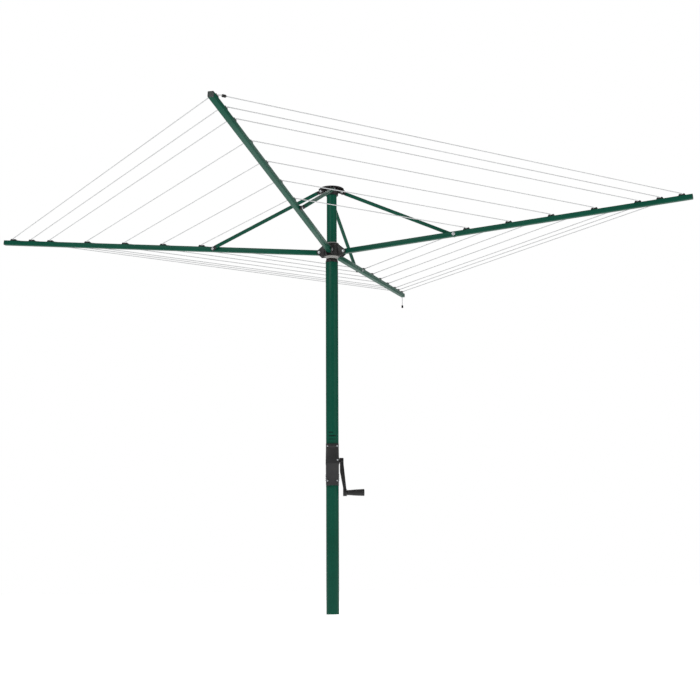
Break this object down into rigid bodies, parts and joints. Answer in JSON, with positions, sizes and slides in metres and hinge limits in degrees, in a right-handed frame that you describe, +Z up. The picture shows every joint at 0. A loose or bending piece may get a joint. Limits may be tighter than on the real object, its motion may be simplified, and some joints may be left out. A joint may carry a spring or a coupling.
{
  "type": "rotary clothesline",
  "caption": "Rotary clothesline: winding mast with a spinning head, folding arms on a sliding hub, struts from a top cap, and square loops of line.",
  "frame": {"origin": "centre of the mast's lower, planted end", "axes": "+Z up the mast, +X towards the crank handle, -Y out of the winder casing's front face"},
  "size_m": [2.8502, 2.8502, 1.742],
  "materials": {
    "green_paint": "satin",
    "black_plastic": "matte",
    "casing_plastic": "satin",
    "grey_plastic": "satin",
    "pale_nylon": "satin",
    "zinc": "satin",
    "steel": "brushed",
    "line_cord": "satin"
  },
  "bodies": {
    "mast": {"outer_mast": "green_paint", "top_bush": "black_plastic", "winder_cover": "casing_plastic", "winder_back": "casing_plastic", "winder_screws": "zinc", "crank_bush": "pale_nylon", "screw_support": "steel", "support_washer": "steel", "guide_strip": "steel"},
    "crank": {"crank_shaft": "steel", "pinion": "steel", "crank_arm": "black_plastic", "grip_spindle": "steel"},
    "grip": {"crank_grip": "black_plastic"},
    "screw": {"lift_screw": "steel", "crown_gear": "steel"},
    "lift": {"lift_nut": "pale_nylon", "thrust_washer": "steel"},
    "head": {"inner_mast": "green_paint", "mast_foot": "pale_nylon", "hub_sleeve": "pale_nylon", "top_cap": "black_plastic", "strut_pins": "zinc"},
    "hub": {"hub": "black_plastic", "arm_pins": "zinc", "latch_cap": "black_plastic", "latch_spring": "steel"},
    "latch": {"latch_pin": "steel", "latch_knob": "black_plastic"},
    "arm_1": {"arm_tube_1": "green_paint", "arm_tip_1": "grey_plastic", "line_clips_1": "black_plastic", "strut_bolt_1": "zinc", "arm_lines_1": "line_cord"},
    "strut_1": {"strut_tube_1": "green_paint", "strut_fittings_1": "black_plastic"},
    "arm_2": {"arm_tube_2": "green_paint", "arm_tip_2": "grey_plastic", "line_clips_2": "black_plastic", "strut_bolt_2": "zinc", "arm_lines_2": "line_cord", "line_tail": "line_cord", "tail_toggle": "black_plastic"},
    "strut_2": {"strut_tube_2": "green_paint", "strut_fittings_2": "black_plastic"},
    "arm_3": {"arm_tube_3": "green_paint", "arm_tip_3": "grey_plastic", "line_clips_3": "black_plastic", "strut_bolt_3": "zinc", "arm_lines_3": "line_cord"},
    "strut_3": {"strut_tube_3": "green_paint", "strut_fittings_3": "black_plastic"},
    "arm_4": {"arm_tube_4": "green_paint", "arm_tip_4": "grey_plastic", "line_clips_4": "black_plastic", "strut_bolt_4": "zinc", "arm_lines_4": "line_cord", "line_toggle": "black_plastic"},
    "strut_4": {"strut_tube_4": "green_paint", "strut_fittings_4": "black_plastic"}
  },
  "joints": [
    {"name": "crank_turn", "type": "hinge", "parent": "mast", "child": "crank", "pos_m": [0.027, 0, 0.605], "axis": [-1, 0, 0], "range_deg": [0, 18000]},
    {"name": "grip_spin", "type": "hinge", "parent": "crank", "child": "grip", "pos_m": [0.0778, 0, 0.477], "axis": [1, 0, 0], "continuous": true},
    {"name": "screw_turn", "type": "hinge", "parent": "mast", "child": "screw", "pos_m": [0, 0, 0.5245], "axis": [0, 0, 1], "range_deg": [-9000, 0]},
    {"name": "mast_lift", "type": "slide", "parent": "mast", "child": "lift", "axis": [0, 0, 1], "range_m": [0, 0.5]},
    {"name": "head_spin", "type": "hinge", "parent": "lift", "child": "head", "pos_m": [0, 0, 1.422], "axis": [0, 0, 1], "continuous": true},
    {"name": "fold_slide", "type": "slide", "parent": "head", "child": "hub", "axis": [0, 0, -1], "range_m": [0, 0.71477]},
    {"name": "latch_pull", "type": "slide", "parent": "hub", "child": "latch", "axis": [-0.5075, 0.8616, 0], "range_m": [0, 0.005], "stiffness_N_per_m": 600, "springref_m": -0.003, "deforming": ["latch_spring"]},
    {"name": "arm_fold_1", "type": "hinge", "parent": "hub", "child": "arm_1", "pos_m": [0.04938, -0.01277, 1.467], "axis": [-0.2504, -0.9681, 0], "range_deg": [0, 78.61], "deforming": ["arm_lines_1"]},
    {"name": "strut_fold_1", "type": "hinge", "parent": "head", "child": "strut_1", "pos_m": [0.03969, -0.01027, 1.725], "axis": [0.2504, 0.9681, 0], "range_deg": [0, 58.99]},
    {"name": "arm_fold_2", "type": "hinge", "parent": "hub", "child": "arm_2", "pos_m": [0.01277, 0.04938, 1.467], "axis": [0.9681, -0.2504, 0], "range_deg": [0, 78.61], "deforming": ["arm_lines_2"]},
    {"name": "strut_fold_2", "type": "hinge", "parent": "head", "child": "strut_2", "pos_m": [0.01027, 0.03969, 1.725], "axis": [-0.9681, 0.2504, 0], "range_deg": [0, 58.99]},
    {"name": "arm_fold_3", "type": "hinge", "parent": "hub", "child": "arm_3", "pos_m": [-0.04938, 0.01277, 1.467], "axis": [0.2504, 0.9681, 0], "range_deg": [0, 78.61], "deforming": ["arm_lines_3"]},
    {"name": "strut_fold_3", "type": "hinge", "parent": "head", "child": "strut_3", "pos_m": [-0.03969, 0.01027, 1.725], "axis": [-0.2504, -0.9681, 0], "range_deg": [0, 58.99]},
    {"name": "arm_fold_4", "type": "hinge", "parent": "hub", "child": "arm_4", "pos_m": [-0.01277, -0.04938, 1.467], "axis": [-0.9681, 0.2504, 0], "range_deg": [0, 78.61], "deforming": ["arm_lines_4"]},
    {"name": "strut_fold_4", "type": "hinge", "parent": "head", "child": "strut_4", "pos_m": [-0.01027, -0.03969, 1.725], "axis": [0.9681, -0.2504, 0], "range_deg": [0, 58.99]}
  ],
  "couplings": [
    {"joint": "screw_turn", "follows": "crank_turn", "ratio": -0.5},
    {"joint": "mast_lift", "follows": "crank_turn", "m_per_rad": 0.0015915},
    {"joint": "arm_fold_1", "follows": "fold_slide", "rad_per_m": 1.9193},
    {"joint": "strut_fold_1", "follows": "fold_slide", "rad_per_m": 1.4403},
    {"joint": "arm_fold_2", "follows": "fold_slide", "rad_per_m": 1.9193},
    {"joint": "strut_fold_2", "follows": "fold_slide", "rad_per_m": 1.4403},
    {"joint": "arm_fold_3", "follows": "fold_slide", "rad_per_m": 1.9193},
    {"joint": "strut_fold_3", "follows": "fold_slide", "rad_per_m": 1.4403},
    {"joint": "arm_fold_4", "follows": "fold_slide", "rad_per_m": 1.9193},
    {"joint": "strut_fold_4", "follows": "fold_slide", "rad_per_m": 1.4403}
  ]
}
